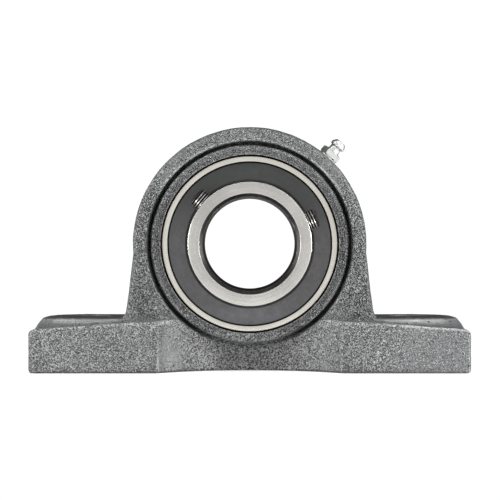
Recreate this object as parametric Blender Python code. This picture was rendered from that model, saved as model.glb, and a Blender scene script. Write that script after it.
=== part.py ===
"""Pillow block bearing unit: cast housing with a set-screw insert ball bearing.

X runs along the base, Y along the shaft (the set screws are at -Y), Z is up.
The origin is on the base plane, under the bearing centre. Numbers below are millimetres and
degrees; meshes are written in metres.
"""

import math

import bmesh
import bpy
from mathutils import Matrix, Vector

MM = 0.001

# housing
AXIS_HEIGHT = 47.6
BASE_HALF_LENGTH = 81.5
BASE_HALF_WIDTH = 24.0
BASE_CORNER_RADIUS = 2.0
FOOT_END_HEIGHT = 16.0
FOOT_INNER_X = 42.0
FOOT_INNER_HEIGHT = 18.6
MIDDLE_HEIGHT = 19.3
MIDDLE_HALF_LENGTH = 34.5
MIDDLE_WAIST = 8.2
BOLT_HALF_SPACING = 63.5
SLOT_WIDTH = 17.0
SLOT_LENGTH = 21.0
BOSS_HEIGHT = 20.1
BOSS_RADIUS = 15.0
BOSS_INNER_X = 44.0
BOSS_END_LIMIT = 81.3
BOSS_ROOT_HEIGHT = 10.0
ARCH_RADIUS = 44.5
ARCH_DRAFT_ANGLE = 4.4
ARCH_HALF_WIDTH = 14.0
ARCH_FOOT_FLARE = 1.5
RECESS_RADIUS = 39.0
SEAT_RADIUS = 36.15
SEAT_HALF_WIDTH = 13.6
SEAT_RIM_RADIUS = 36.4
VALLEY_DEPTH_Y = 9.0
SEAT_BOSS_ROOT_RADIUS = 38.2
GREASE_GROOVE_RADIUS = 37.0
GREASE_GROOVE_HALF_WIDTH = 1.5
FILLING_SLOT_WIDTH = 19.6
FILLING_SLOT_REACH = 36.9
POCKET_HEIGHT = 6.0
POCKET_HALF_LENGTH = 46.0
POCKET_WALL = 6.0

# bearing insert
BORE_RADIUS = 17.5
INNER_RADIUS = 23.05
INNER_FRONT_Y = -25.4
INNER_REAR_Y = 17.5
BORE_CHAMFER = 1.15
EDGE_CHAMFER = 0.5
OUTER_SPHERE_RADIUS = 36.0
OUTER_HALF_WIDTH = 9.5
OUTER_LAND_RADIUS = 32.9
OUTER_MOUTH_RADIUS = 31.0
OUTER_SHOULDER_RADIUS = 30.3
SEAL_STEP_Y = 6.9
BALL_RADIUS = 5.556
BALL_COUNT = 9
PITCH_RADIUS = 26.75
GROOVE_RADIUS = 5.85
OUTER_GROOVE_BOTTOM = 32.45
INNER_GROOVE_BOTTOM = 21.05
GREASE_HOLE_RADIUS = 0.8
GREASE_HOLE_Y = 5.6
RING_SEGMENTS = 60
COVER_SEGMENTS = 40

# cage
CAGE_SHEET = 0.8
CAGE_POCKET_GAP = 0.15
CAGE_HALF_GAP = 0.05
CAGE_INNER_RADIUS = 24.9
CAGE_OUTER_RADIUS = 28.6
CAGE_BEND_U = 6.5
RIVET_RADIUS = 0.65
RIVET_HOLE_RADIUS = 0.75
RIVET_HEAD_RADIUS = 1.25
RIVET_HEAD_HEIGHT = 0.5
RIVET_HEAD_GAP = 0.05

# set screws
SCREW_ANGLES = (21.5, 138.0)
SCREW_Y = -20.0
SCREW_RADIUS = 3.9
SCREW_ROOT_RADIUS = 3.45
SCREW_HOLE_RADIUS = 4.05
SCREW_PITCH = 1.0
SCREW_INNER_END = 18.8
SCREW_OUTER_END = 26.8
SCREW_SOCKET_FLATS = 4.0
SCREW_SOCKET_DEPTH = 4.0
SCREW_CUP_DEPTH = 1.0

# grease nipple
NIPPLE_ANGLE = 48.0
NIPPLE_SEAT = 44.0
NIPPLE_FLATS = 7.0
NIPPLE_TURN = 34.0
NIPPLE_HOLE_RADIUS = 2.7
NIPPLE_DRILL_RADIUS = 1.5
NIPPLE_DRILL_TOP = 39.2
NIPPLE_SPOT_RADIUS = 4.9
NIPPLE_BALL_RADIUS = 1.0
NIPPLE_BALL_CENTRE = 50.35
NIPPLE_WIRE_RADIUS = 0.13
NIPPLE_SPRING_RADIUS = 0.85
NIPPLE_SPRING_TURNS = 4


# ---------------------------------------------------------------- helpers


def clear_scene():
    for ob in list(bpy.data.objects):
        bpy.data.objects.remove(ob, do_unlink=True)


def new_material(name, colour, roughness, metallic):
    mat = bpy.data.materials.new(name)
    mat.use_nodes = True
    shader = mat.node_tree.nodes["Principled BSDF"]
    shader.inputs["Base Color"].default_value = (*colour, 1.0)
    shader.inputs["Roughness"].default_value = roughness
    shader.inputs["Metallic"].default_value = metallic
    return mat


def housing_paint():
    return new_material("housing_paint", (0.19, 0.195, 0.2), 0.5, 0.0)


def bearing_steel():
    return new_material("bearing_steel", (0.62, 0.61, 0.58), 0.28, 1.0)


def ball_steel():
    return new_material("ball_steel", (0.72, 0.72, 0.72), 0.08, 1.0)


def cage_steel():
    return new_material("cage_steel", (0.5, 0.5, 0.49), 0.4, 1.0)


def dark_coating():
    return new_material("dark_coating", (0.06, 0.062, 0.065), 0.55, 0.0)


def seal_rubber():
    return new_material("seal_rubber", (0.03, 0.03, 0.03), 0.7, 0.0)


def screw_steel():
    return new_material("screw_steel", (0.3, 0.29, 0.27), 0.35, 1.0)


def zinc_plate():
    return new_material("zinc_plate", (0.75, 0.76, 0.74), 0.25, 1.0)


def new_empty(name, location, parent=None):
    empty = bpy.data.objects.new(name, None)
    bpy.context.scene.collection.objects.link(empty)
    empty.location = location
    empty.parent = parent
    return empty


def new_object(name, bm, mat, location=(0.0, 0.0, 0.0), parent=None, rotation=(0.0, 0.0, 0.0)):
    """Turn a bmesh in millimetres into an object in metres."""
    bmesh.ops.recalc_face_normals(bm, faces=bm.faces)
    bmesh.ops.scale(bm, vec=(MM, MM, MM), verts=bm.verts)
    mesh = bpy.data.meshes.new(name)
    bm.to_mesh(mesh)
    bm.free()
    ob = bpy.data.objects.new(name, mesh)
    bpy.context.scene.collection.objects.link(ob)
    ob.location = [c * MM for c in location]
    ob.rotation_euler = rotation
    ob.parent = parent
    if mat is not None:
        mesh.materials.append(mat)
        mesh.shade_smooth()
        mesh.set_sharp_from_angle(angle=math.radians(32.0))
    return ob


def boolean(target, cutter, operation):
    cutter.hide_render = True
    cutter.display_type = "WIRE"
    mod = target.modifiers.new(cutter.name, "BOOLEAN")
    mod.operation = operation
    mod.object = cutter
    mod.solver = "EXACT"
    return mod


def bridge_rings(bm, first, second):
    count = len(first)
    for i in range(count):
        j = (i + 1) % count
        bm.faces.new((first[i], first[j], second[j], second[i]))


def lathe_ring(profile, segments):
    """Spin a closed (radius, y) profile round the Y axis: a ring with a hole."""
    bm = bmesh.new()
    columns = []
    for k in range(segments):
        turn = 2.0 * math.pi * k / segments
        column = [
            bm.verts.new((r * math.cos(turn), y, r * math.sin(turn))) for r, y in profile
        ]
        columns.append(column)
    for k in range(segments):
        bridge_rings(bm, columns[k], columns[(k + 1) % segments])
    return bm


def lathe_solid(profile, segments):
    """Spin an open (radius, z) profile round the Z axis; the two end points are on the axis."""
    bm = bmesh.new()
    start = bm.verts.new((0.0, 0.0, profile[0][1]))
    finish = bm.verts.new((0.0, 0.0, profile[-1][1]))
    rings = []
    for r, z in profile[1:-1]:
        ring = []
        for k in range(segments):
            turn = 2.0 * math.pi * k / segments
            ring.append(bm.verts.new((r * math.cos(turn), r * math.sin(turn), z)))
        rings.append(ring)
    for first, second in zip(rings, rings[1:]):
        bridge_rings(bm, first, second)
    for k in range(segments):
        j = (k + 1) % segments
        bm.faces.new((start, rings[0][j], rings[0][k]))
        bm.faces.new((finish, rings[-1][k], rings[-1][j]))
    return bm


def add_drill(bm, radius, half_length, place):
    """Add a capped cylinder along Y, centred on a point, to a cutter mesh."""
    spot = Matrix.Translation(Vector(place)) @ Matrix.Rotation(math.radians(90.0), 4, "X")
    bmesh.ops.create_cone(
        bm,
        cap_ends=True,
        segments=8,
        radius1=radius,
        radius2=radius,
        depth=2.0 * half_length,
        matrix=spot,
    )


def extrude_outline(outline, low, high, plane):
    """Prism from a closed outline; plane "xy" extrudes along Z, plane "xz" along Y."""
    bm = bmesh.new()
    if plane == "xy":
        first = [bm.verts.new((a, b, low)) for a, b in outline]
        second = [bm.verts.new((a, b, high)) for a, b in outline]
    else:
        first = [bm.verts.new((a, low, b)) for a, b in outline]
        second = [bm.verts.new((a, high, b)) for a, b in outline]
    bridge_rings(bm, first, second)
    bm.faces.new(first)
    bm.faces.new(list(reversed(second)))
    return bm


def loft_closed(sections):
    """Solid through a stack of closed sections with the same number of points, capped."""
    bm = bmesh.new()
    rings = [[bm.verts.new(p) for p in section] for section in sections]
    for first, second in zip(rings, rings[1:]):
        bridge_rings(bm, first, second)
    bm.faces.new(rings[0])
    bm.faces.new(list(reversed(rings[-1])))
    return bm


def arc(centre, radius, start, finish, steps):
    """Points on an arc from start to finish degrees, both ends included."""
    points = []
    for k in range(steps + 1):
        turn = math.radians(start + (finish - start) * k / steps)
        points.append((centre[0] + radius * math.cos(turn), centre[1] + radius * math.sin(turn)))
    return points


def stadium(centre_x, half_straight, radius, steps):
    right = arc((centre_x + half_straight, 0.0), radius, -90.0, 90.0, steps)
    left = arc((centre_x - half_straight, 0.0), radius, 90.0, 270.0, steps)
    return right + left


def radial_matrix(angle, y=0.0):
    """Local +Z points away from the bearing axis at this angle above +X."""
    turn = Matrix.Rotation(math.radians(90.0 - angle), 4, "Y")
    return Matrix.Translation(Vector((0.0, y, 0.0))) @ turn


# ---------------------------------------------------------------- housing


def base_plan():
    inner_x = BASE_HALF_LENGTH - BASE_CORNER_RADIUS
    inner_y = BASE_HALF_WIDTH - BASE_CORNER_RADIUS
    outline = []
    corners = ((1, -1, -90.0), (1, 1, 0.0), (-1, 1, 90.0), (-1, -1, 180.0))
    for sx, sy, start in corners:
        outline += arc((sx * inner_x, sy * inner_y), BASE_CORNER_RADIUS, start, start + 90.0, 3)
    return outline


def base_elevation():
    end = BASE_HALF_LENGTH + 3.0
    round_x = BASE_HALF_LENGTH - 1.8
    half = [
        (round_x, -0.001),
        (BASE_HALF_LENGTH - 0.5, 0.55),
        (BASE_HALF_LENGTH, 1.8),
        (end, 1.9),
        (end, FOOT_END_HEIGHT - 1.9),
        (BASE_HALF_LENGTH, FOOT_END_HEIGHT - 1.8),
        (BASE_HALF_LENGTH - 0.5, FOOT_END_HEIGHT - 0.5),
        (round_x, FOOT_END_HEIGHT),
        (FOOT_INNER_X, FOOT_INNER_HEIGHT),
        (MIDDLE_HALF_LENGTH, FOOT_INNER_HEIGHT + 0.1),
        (MIDDLE_HALF_LENGTH - 4.0, MIDDLE_HEIGHT),
    ]
    return half + [(-x, z) for x, z in reversed(half)]


def arch_section(radius, y):
    """Outline of the arch at one station along the shaft."""
    draft = math.radians(ARCH_DRAFT_ANGLE)
    side = radius / math.cos(draft)
    floor = 5.0
    knee = 21.6
    ledge = 18.6

    def half_width(z):
        return side + (AXIS_HEIGHT - z) * math.tan(draft)

    right = [
        (half_width(knee) + ARCH_FOOT_FLARE + 1.0, floor),
        (half_width(knee) + ARCH_FOOT_FLARE, ledge),
        (half_width(knee) + 0.3, knee - 1.4),
        (half_width(knee), knee),
    ]
    over = arc((0.0, AXIS_HEIGHT), radius, -ARCH_DRAFT_ANGLE, 180.0 + ARCH_DRAFT_ANGLE, 44)
    left = [(-x, z) for x, z in reversed(right)]
    return [(x, y, z) for x, z in right + over + left]


def arch_solid():
    stations = (
        (ARCH_HALF_WIDTH, 1.6),
        (ARCH_HALF_WIDTH - 0.7, 0.9),
        (8.0, 0.35),
        (0.0, 0.0),
        (-8.0, 0.35),
        (-ARCH_HALF_WIDTH + 0.7, 0.9),
        (-ARCH_HALF_WIDTH, 1.6),
    )
    return loft_closed([arch_section(ARCH_RADIUS - drop, y) for y, drop in stations])


def boss_solid(side):
    """Raised pad round a bolt slot, with a hollow flank down to the foot."""
    flank = (
        (-0.8, BOSS_HEIGHT),
        (0.1, BOSS_HEIGHT - 0.8),
        (0.9, BOSS_HEIGHT - 1.75),
        (2.4, BOSS_HEIGHT - 3.0),
        (5.0, BOSS_HEIGHT - 4.1),
        (6.0, BOSS_ROOT_HEIGHT),
    )
    middle = (BOLT_HALF_SPACING + BOSS_INNER_X) / 2.0
    half_straight = (BOLT_HALF_SPACING - BOSS_INNER_X) / 2.0
    sections = []
    for offset, z in reversed(flank):
        outline = stadium(middle, half_straight, BOSS_RADIUS + offset, 10)
        outline = [(min(x, BOSS_END_LIMIT), y) for x, y in outline]
        sections.append([(side * x, y, z) for x, y in outline])
    return loft_closed(sections)


def waist_curve():
    """Half plan of the hollow face between the feet: (x, distance from the centre plane)."""
    sagitta = BASE_HALF_WIDTH - MIDDLE_WAIST
    radius = (MIDDLE_HALF_LENGTH**2 + sagitta**2) / (2.0 * sagitta)
    points = []
    for x in (33.6, 30.0, 25.5, 20.5, 15.0, 9.0, 3.0):
        points.append((x, MIDDLE_WAIST + radius - math.sqrt(radius**2 - x**2)))
    return points


def waist_cutter(side):
    curve = waist_curve()
    edge = [(MIDDLE_HALF_LENGTH + 6.0, BASE_HALF_WIDTH + 8.0)]
    edge += [(MIDDLE_HALF_LENGTH + 0.9, BASE_HALF_WIDTH + 0.25)]
    right = edge + curve
    outline = right + [(-x, y) for x, y in reversed(right)]
    return extrude_outline([(x, side * y) for x, y in outline], -3.0, 23.0, "xy")


def pocket_cutter():
    """Hourglass hollow in the underside, following the waist at a constant wall."""
    wall_y = BASE_HALF_WIDTH - POCKET_WALL
    right = [(POCKET_HALF_LENGTH, wall_y - 3.0), (POCKET_HALF_LENGTH - 3.0, wall_y)]
    right += [(MIDDLE_HALF_LENGTH + 2.0, wall_y)]
    right += [(x, max(y - POCKET_WALL, 2.6)) for x, y in waist_curve() if x < 32.0]
    outline = right + [(-x, y) for x, y in reversed(right)]
    outline += [(-x, -y) for x, y in right]
    outline += [(x, -y) for x, y in reversed(right)]
    return extrude_outline(outline, -3.0, POCKET_HEIGHT, "xy")


def seat_boss():
    """Disc left round the seat where the waist would cut into it; its side flares at the root."""
    half = [
        (0.0, SEAT_HALF_WIDTH),
        (SEAT_RIM_RADIUS - 0.5, SEAT_HALF_WIDTH),
        (SEAT_RIM_RADIUS, SEAT_HALF_WIDTH - 0.6),
        (SEAT_RIM_RADIUS + 0.2, VALLEY_DEPTH_Y + 1.5),
        (SEAT_RIM_RADIUS + 0.9, VALLEY_DEPTH_Y),
        (SEAT_BOSS_ROOT_RADIUS, MIDDLE_WAIST),
    ]
    bm = lathe_solid([(r, -y) for r, y in half] + list(reversed(half)), RING_SEGMENTS)
    bmesh.ops.transform(bm, matrix=Matrix.Rotation(math.radians(-90.0), 4, "X"), verts=bm.verts)
    return bm


def seat_cutter():
    """Everything turned or cored round the bearing axis, as one lathe solid."""
    side = [
        (RECESS_RADIUS + 0.3, 32.0),
        (RECESS_RADIUS, ARCH_HALF_WIDTH),
        (RECESS_RADIUS - 0.3, VALLEY_DEPTH_Y + 1.5),
        (RECESS_RADIUS - 0.9, VALLEY_DEPTH_Y),
        (RECESS_RADIUS - 1.7, VALLEY_DEPTH_Y),
        (SEAT_RIM_RADIUS + 0.2, VALLEY_DEPTH_Y + 1.5),
        (SEAT_RIM_RADIUS, SEAT_HALF_WIDTH - 0.6),
        (SEAT_RIM_RADIUS - 0.5, SEAT_HALF_WIDTH),
    ]
    edge = math.degrees(math.asin(SEAT_HALF_WIDTH / SEAT_RADIUS))
    groove = math.degrees(math.asin(GREASE_GROOVE_HALF_WIDTH / SEAT_RADIUS))
    seat = arc((0.0, 0.0), SEAT_RADIUS, edge, groove, 5)
    side += seat
    side += [(GREASE_GROOVE_RADIUS, GREASE_GROOVE_HALF_WIDTH)]
    profile = [(0.0, -32.0)] + [(r, -y) for r, y in side]
    profile += list(reversed(side)) + [(0.0, 32.0)]
    bm = lathe_solid(profile, RING_SEGMENTS)
    bmesh.ops.transform(bm, matrix=Matrix.Rotation(math.radians(-90.0), 4, "X"), verts=bm.verts)
    return bm


def nipple_hole_cutter():
    profile = [
        (0.0, 33.0),
        (NIPPLE_DRILL_RADIUS, 33.0),
        (NIPPLE_DRILL_RADIUS, NIPPLE_DRILL_TOP),
        (NIPPLE_HOLE_RADIUS, NIPPLE_DRILL_TOP),
        (NIPPLE_HOLE_RADIUS, NIPPLE_SEAT),
        (NIPPLE_SPOT_RADIUS, NIPPLE_SEAT),
        (NIPPLE_SPOT_RADIUS, 58.0),
        (0.0, 58.0),
    ]
    bm = lathe_solid(profile, 20)
    bmesh.ops.transform(bm, matrix=radial_matrix(NIPPLE_ANGLE), verts=bm.verts)
    return bm


def filling_slot_cutter():
    half = FILLING_SLOT_WIDTH / 2.0
    outline = [
        (-FILLING_SLOT_REACH, -half),
        (FILLING_SLOT_REACH, -half),
        (FILLING_SLOT_REACH, half),
        (-FILLING_SLOT_REACH, half),
    ]
    return extrude_outline(outline, 3.0, 18.0, "xz")


def build_housing(mat):
    centre = (0.0, 0.0, AXIS_HEIGHT)
    housing = new_object("housing", extrude_outline(base_plan(), 0.0, 30.0, "xy"), mat)
    elevation = extrude_outline(base_elevation(), -40.0, 40.0, "xz")
    boolean(housing, new_object("cut_elevation", elevation, None), "INTERSECT")
    boolean(housing, new_object("cut_arch", arch_solid(), None), "UNION")
    half_slot = (SLOT_LENGTH - SLOT_WIDTH) / 2.0
    for tag, side in (("left", -1), ("right", 1)):
        boolean(housing, new_object("cut_boss_" + tag, boss_solid(side), None), "UNION")
    for tag, side in (("front", -1), ("rear", 1)):
        boolean(housing, new_object("cut_waist_" + tag, waist_cutter(side), None), "DIFFERENCE")
    boolean(housing, new_object("cut_seat_boss", seat_boss(), None, centre), "UNION")
    boolean(housing, new_object("cut_seat", seat_cutter(), None, centre), "DIFFERENCE")
    for tag, side in (("left", -1), ("right", 1)):
        outline = stadium(side * BOLT_HALF_SPACING, half_slot, SLOT_WIDTH / 2.0, 8)
        slot = extrude_outline(outline, -3.0, 30.0, "xy")
        boolean(housing, new_object("cut_slot_" + tag, slot, None), "DIFFERENCE")
    boolean(housing, new_object("cut_pocket", pocket_cutter(), None), "DIFFERENCE")
    boolean(housing, new_object("cut_filling", filling_slot_cutter(), None, centre), "DIFFERENCE")
    boolean(housing, new_object("cut_nipple", nipple_hole_cutter(), None, centre), "DIFFERENCE")
    return housing


# ---------------------------------------------------------------- bearing rings


def groove_profile(bottom, outward, shoulder, steps):
    """(radius, y) points of a raceway from -Y shoulder to +Y shoulder."""
    centre = bottom - outward * GROOVE_RADIUS
    reach = math.degrees(math.acos(abs(shoulder - centre) / GROOVE_RADIUS))
    points = []
    for k in range(steps + 1):
        turn = math.radians(-reach + 2.0 * reach * k / steps)
        points.append(
            (centre + outward * GROOVE_RADIUS * math.cos(turn), GROOVE_RADIUS * math.sin(turn))
        )
    return points


def build_outer_ring(mat, parent):
    rim_y = OUTER_HALF_WIDTH - 0.8
    edge = math.degrees(math.asin(rim_y / OUTER_SPHERE_RADIUS))
    profile = [(OUTER_LAND_RADIUS, -OUTER_HALF_WIDTH)]
    profile += arc((0.0, 0.0), OUTER_SPHERE_RADIUS, -edge, edge, 6)
    profile += [
        (OUTER_LAND_RADIUS, OUTER_HALF_WIDTH),
        (OUTER_MOUTH_RADIUS, OUTER_HALF_WIDTH),
        (OUTER_MOUTH_RADIUS, SEAL_STEP_Y),
        (OUTER_SHOULDER_RADIUS, SEAL_STEP_Y),
    ]
    raceway = groove_profile(OUTER_GROOVE_BOTTOM, 1, OUTER_SHOULDER_RADIUS, 6)
    profile += list(reversed(raceway))
    profile += [
        (OUTER_SHOULDER_RADIUS, -SEAL_STEP_Y),
        (OUTER_MOUTH_RADIUS, -SEAL_STEP_Y),
        (OUTER_MOUTH_RADIUS, -OUTER_HALF_WIDTH),
    ]
    ring = new_object("outer_ring", lathe_ring(profile, RING_SEGMENTS), mat, parent=parent)
    for tag, angle in (("a", 3.0), ("b", 183.0)):
        drill = lathe_solid(
            [(0.0, 26.0), (GREASE_HOLE_RADIUS, 26.0), (GREASE_HOLE_RADIUS, 40.0), (0.0, 40.0)], 8
        )
        matrix = radial_matrix(angle, GREASE_HOLE_Y)
        bmesh.ops.transform(drill, matrix=matrix, verts=drill.verts)
        boolean(ring, new_object("cut_grease_" + tag, drill, None, parent=parent), "DIFFERENCE")
    return ring


def build_inner_ring(mat, parent):
    profile = [
        (BORE_RADIUS, INNER_REAR_Y - BORE_CHAMFER),
        (BORE_RADIUS, INNER_FRONT_Y + BORE_CHAMFER),
        (BORE_RADIUS + BORE_CHAMFER, INNER_FRONT_Y),
        (INNER_RADIUS - EDGE_CHAMFER, INNER_FRONT_Y),
        (INNER_RADIUS, INNER_FRONT_Y + EDGE_CHAMFER),
    ]
    profile += groove_profile(INNER_GROOVE_BOTTOM, -1, INNER_RADIUS, 6)
    profile += [
        (INNER_RADIUS, INNER_REAR_Y - EDGE_CHAMFER),
        (INNER_RADIUS - EDGE_CHAMFER, INNER_REAR_Y),
        (BORE_RADIUS + BORE_CHAMFER, INNER_REAR_Y),
    ]
    ring = new_object("inner_ring", lathe_ring(profile, RING_SEGMENTS), mat, parent=parent)
    for index, angle in enumerate(SCREW_ANGLES, 1):
        drill = lathe_solid(
            [(0.0, 10.0), (SCREW_HOLE_RADIUS, 10.0), (SCREW_HOLE_RADIUS, 30.0), (0.0, 30.0)], 20
        )
        bmesh.ops.transform(drill, matrix=radial_matrix(angle, SCREW_Y), verts=drill.verts)
        cutter = new_object("cut_tapping_%d" % index, drill, None, parent=parent)
        boolean(ring, cutter, "DIFFERENCE")
    return ring


def build_slinger(name, side, mat, parent):
    profile = [
        (23.15, 7.3),
        (23.15, 9.2),
        (23.45, 9.85),
        (24.1, 10.1),
        (30.3, 10.1),
        (30.5, 9.9),
        (30.5, 9.3),
        (24.2, 9.3),
        (23.95, 9.0),
        (23.95, 7.3),
    ]
    bm = lathe_ring([(r, side * y) for r, y in profile], COVER_SEGMENTS)
    return new_object(name, bm, mat, parent=parent)


def build_seal(name, side, mat, parent):
    profile = [
        (24.2, 7.45),
        (24.2, 7.75),
        (25.3, 8.2),
        (30.75, 8.2),
        (30.75, 7.1),
        (25.3, 7.1),
    ]
    bm = lathe_ring([(r, side * y) for r, y in profile], COVER_SEGMENTS)
    return new_object(name, bm, mat, parent=parent)


# ---------------------------------------------------------------- balls and cage


def pitch_point(angle):
    turn = math.radians(angle)
    return (PITCH_RADIUS * math.cos(turn), 0.0, PITCH_RADIUS * math.sin(turn))


def ball_angle(index):
    return 90.0 + 360.0 * index / BALL_COUNT


def build_balls(mat, parent):
    profile = arc((0.0, 0.0), BALL_RADIUS, -90.0, 90.0, 8)
    profile[0] = (0.0, -BALL_RADIUS)
    profile[-1] = (0.0, BALL_RADIUS)
    for index in range(BALL_COUNT):
        name = "ball_%d" % (index + 1)
        place = pitch_point(ball_angle(index))
        new_object(name, lathe_solid(profile, 12), mat, place, parent)


def cage_path():
    """Mid-line of the pressed sheet over one ball: (distance along the pitch circle, y)."""
    reach = BALL_RADIUS + CAGE_POCKET_GAP + CAGE_SHEET / 2.0
    flat_y = CAGE_HALF_GAP + CAGE_SHEET / 2.0
    pitch = 2.0 * math.pi * PITCH_RADIUS / BALL_COUNT
    points = [(-pitch / 2.0, flat_y), (-CAGE_BEND_U, flat_y)]
    for angle in range(170, 0, -20):
        turn = math.radians(angle)
        points.append((reach * math.cos(turn), reach * math.sin(turn)))
    points.append((CAGE_BEND_U, flat_y))
    return points, pitch


def build_cage_half(name, side, mat, parent):
    points, pitch = cage_path()
    path = []
    for index in range(BALL_COUNT):
        shift = pitch * index
        path += [(u + shift, y) for u, y in points]
    count = len(path)
    length = pitch * BALL_COUNT
    bm = bmesh.new()
    sections = []
    for k, (u, y) in enumerate(path):
        before = path[k - 1]
        after = path[(k + 1) % count]
        du_in = (u - before[0]) % length
        du_out = (after[0] - u) % length
        first = Vector((du_in, y - before[1])).normalized()
        second = Vector((du_out, after[1] - y)).normalized()
        normal = Vector((-(first + second).y, (first + second).x)).normalized()
        half = CAGE_SHEET / 2.0 / max(normal.dot(Vector((-first.y, first.x))), 0.6)
        section = []
        for r, sign in (
            (CAGE_INNER_RADIUS, 1),
            (CAGE_OUTER_RADIUS, 1),
            (CAGE_OUTER_RADIUS, -1),
            (CAGE_INNER_RADIUS, -1),
        ):
            along = u + sign * half * normal.x
            up = y + sign * half * normal.y
            turn = math.radians(ball_angle(0)) + along / PITCH_RADIUS
            section.append(bm.verts.new((r * math.cos(turn), side * up, r * math.sin(turn))))
        sections.append(section)
    for k in range(count):
        bridge_rings(bm, sections[k], sections[(k + 1) % count])
    cage = new_object(name, bm, mat, parent=parent)
    drills = bmesh.new()
    for index in range(BALL_COUNT):
        angle = ball_angle(index) + 180.0 / BALL_COUNT
        add_drill(drills, RIVET_HOLE_RADIUS, 3.0, pitch_point(angle))
    boolean(cage, new_object("cut_" + name, drills, None, parent=parent), "DIFFERENCE")
    return cage


def build_rivets(mat, parent):
    under = CAGE_HALF_GAP + CAGE_SHEET + RIVET_HEAD_GAP
    top = under + RIVET_HEAD_HEIGHT
    half = [
        (RIVET_RADIUS, under),
        (RIVET_HEAD_RADIUS, under),
        (RIVET_HEAD_RADIUS * 0.72, top - 0.1),
        (0.0, top),
    ]
    profile = [(r, -y) for r, y in reversed(half)] + half
    for index in range(BALL_COUNT):
        bm = lathe_solid(profile, 8)
        turn = Matrix.Rotation(math.radians(-90.0), 4, "X")
        bmesh.ops.transform(bm, matrix=turn, verts=bm.verts)
        angle = ball_angle(index) + 180.0 / BALL_COUNT
        new_object("cage_rivet_%d" % (index + 1), bm, mat, pitch_point(angle), parent)


# ---------------------------------------------------------------- set screws


def build_set_screw(index, angle, mat, parent):
    middle = (SCREW_INNER_END + SCREW_OUTER_END) / 2.0
    half = (SCREW_OUTER_END - SCREW_INNER_END) / 2.0
    profile = [(0.0, -half + SCREW_CUP_DEPTH), (1.3, -half + SCREW_CUP_DEPTH)]
    profile += [(2.3, -half), (SCREW_ROOT_RADIUS, -half + 0.9)]
    z = -half + 1.0
    while z < half - 0.9:
        profile.append((SCREW_RADIUS, z + 0.35 * SCREW_PITCH))
        profile.append((SCREW_RADIUS, z + 0.5 * SCREW_PITCH))
        profile.append((SCREW_ROOT_RADIUS, z + 0.85 * SCREW_PITCH))
        z += SCREW_PITCH
    profile.append((SCREW_ROOT_RADIUS - 0.2, half))
    profile.append((0.0, half))
    screw_base = lathe_solid(profile, 16)
    turn = math.radians(angle)
    place = (middle * math.cos(turn), SCREW_Y, middle * math.sin(turn))
    tilt = (0.0, math.radians(90.0 - angle), 0.0)
    screw = new_object("set_screw_%d" % index, screw_base, mat, place, parent, tilt)
    corner = SCREW_SOCKET_FLATS / 2.0 / math.cos(math.radians(30.0))
    floor = half - SCREW_SOCKET_DEPTH
    socket = lathe_solid([(0.0, floor), (corner, floor), (corner, half + 2.0), (0.0, half + 2.0)], 6)
    cutter = new_object("cut_socket_%d" % index, socket, None, place, parent, tilt)
    boolean(screw, cutter, "DIFFERENCE")
    return screw


# ---------------------------------------------------------------- grease nipple


def nipple_ring(radius, height, hexagon, count):
    """One closed section of the nipple; a hexagon section is given by its half width."""
    points = []
    for k in range(count):
        turn = 360.0 * k / count
        r = radius
        if hexagon:
            r = radius / math.cos(math.radians((turn + 30.0) % 60.0 - 30.0))
        a = math.radians(turn + NIPPLE_TURN)
        points.append((r * math.cos(a), r * math.sin(a), height))
    return points


def build_nipple_body(mat, parent):
    seat = NIPPLE_SEAT + 0.06
    flats = NIPPLE_FLATS / 2.0
    outside = [
        (2.3, 39.6, False),
        (2.55, 39.9, False),
        (2.55, seat, False),
        (flats * 0.98, seat, True),
        (flats, seat + 0.2, True),
        (flats, seat + 3.0, True),
        (flats * 0.95, seat + 3.3, True),
        (2.6, seat + 3.4, False),
        (2.3, seat + 3.8, False),
        (2.3, seat + 5.2, False),
        (2.85, seat + 5.5, False),
        (2.95, seat + 6.1, False),
        (2.95, seat + 6.6, False),
        (2.1, 51.95, False),
        (1.9, 52.1, False),
    ]
    inside = [
        (0.65, 52.1, False),
        (0.65, 51.3, False),
        (1.2, 50.7, False),
        (1.2, 41.0, False),
        (0.7, 41.0, False),
        (0.7, 39.6, False),
    ]
    bm = bmesh.new()
    rings = []
    for radius, height, hexagon in outside + inside:
        points = nipple_ring(radius, height, hexagon, 18)
        rings.append([bm.verts.new(p) for p in points])
    for k in range(len(rings)):
        bridge_rings(bm, rings[k], rings[(k + 1) % len(rings)])
    return new_object("grease_nipple_body", bm, mat, parent=parent)


def build_nipple_ball(mat, parent):
    profile = arc((0.0, 0.0), NIPPLE_BALL_RADIUS, -90.0, 90.0, 6)
    profile[0] = (0.0, -NIPPLE_BALL_RADIUS)
    profile[-1] = (0.0, NIPPLE_BALL_RADIUS)
    bm = lathe_solid(profile, 10)
    return new_object("grease_nipple_ball", bm, mat, (0.0, 0.0, NIPPLE_BALL_CENTRE), parent)


def build_nipple_spring(mat, parent):
    """Helical coil between the crimped end of the shank and the check ball."""
    low = 41.0 + 2.0 * NIPPLE_WIRE_RADIUS
    high = NIPPLE_BALL_CENTRE - 0.62 * NIPPLE_BALL_RADIUS - 2.0 * NIPPLE_WIRE_RADIUS
    steps = 8 * NIPPLE_SPRING_TURNS
    sections = []
    for k in range(steps + 1):
        turn = 2.0 * math.pi * NIPPLE_SPRING_TURNS * k / steps
        out = Vector((math.cos(turn), math.sin(turn), 0.0))
        up = Vector((0.0, 0.0, 1.0))
        middle = out * NIPPLE_SPRING_RADIUS + up * (low + (high - low) * k / steps)
        section = []
        for s in range(4):
            spin = 2.0 * math.pi * s / 4
            section.append(middle + NIPPLE_WIRE_RADIUS * (out * math.cos(spin) + up * math.sin(spin)))
        sections.append(section)
    return new_object("grease_nipple_spring", loft_closed(sections), mat, parent=parent)


# ---------------------------------------------------------------- assembly


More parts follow.
